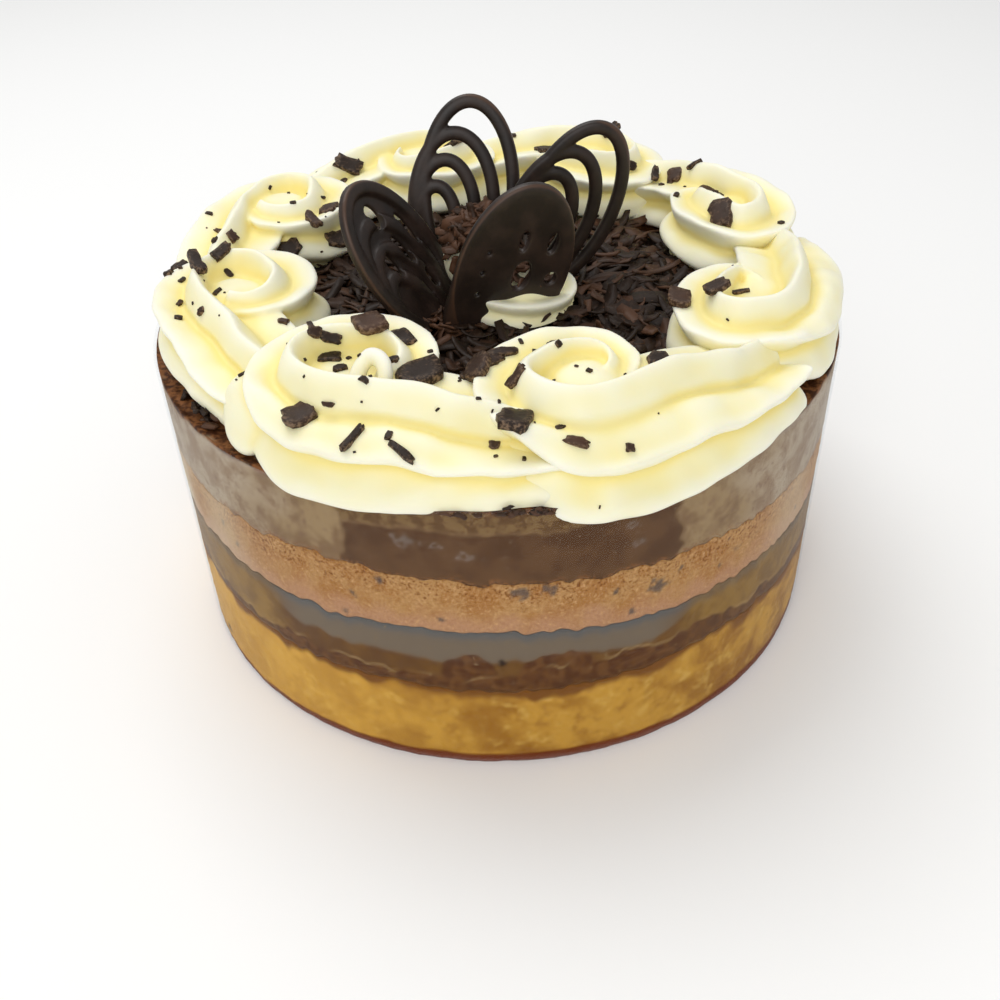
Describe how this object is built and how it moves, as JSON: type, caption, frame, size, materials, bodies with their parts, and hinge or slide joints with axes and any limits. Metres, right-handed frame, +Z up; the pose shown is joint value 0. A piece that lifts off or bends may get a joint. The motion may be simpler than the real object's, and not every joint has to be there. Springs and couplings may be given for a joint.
{
  "type": "mousse cake",
  "caption": "Round layered mousse cake in a clear film collar, topped with a ring of piped cream swirls, chocolate shavings and chocolate filigree leaves.",
  "frame": {"origin": "middle of the cake's flat underside, on its axis", "axes": "+Z up along the cake's axis, -Y towards the side the picture shows, +X to its right"},
  "size_m": [0.152, 0.1525, 0.111],
  "materials": {
    "sponge": "matte crumb",
    "mousse": "smooth, matte",
    "film": "clear gloss film",
    "cream": "soft satin",
    "chocolate": "satin"
  },
  "bodies": {
    "root": {"base_sponge": "sponge", "lower_mousse": "mousse", "upper_sponge": "sponge", "upper_mousse": "mousse", "collar": "film", "cream_swirl_1": "cream", "cream_swirl_2": "cream", "cream_swirl_3": "cream", "cream_swirl_4": "cream", "cream_swirl_5": "cream", "cream_swirl_6": "cream", "cream_swirl_7": "cream", "cream_swirl_8": "cream", "centre_dollop": "cream", "filigree_left": "chocolate", "filigree_back": "chocolate", "filigree_right": "chocolate", "filigree_front": "chocolate", "shavings_heap": "chocolate"}
  },
  "joints": []
}
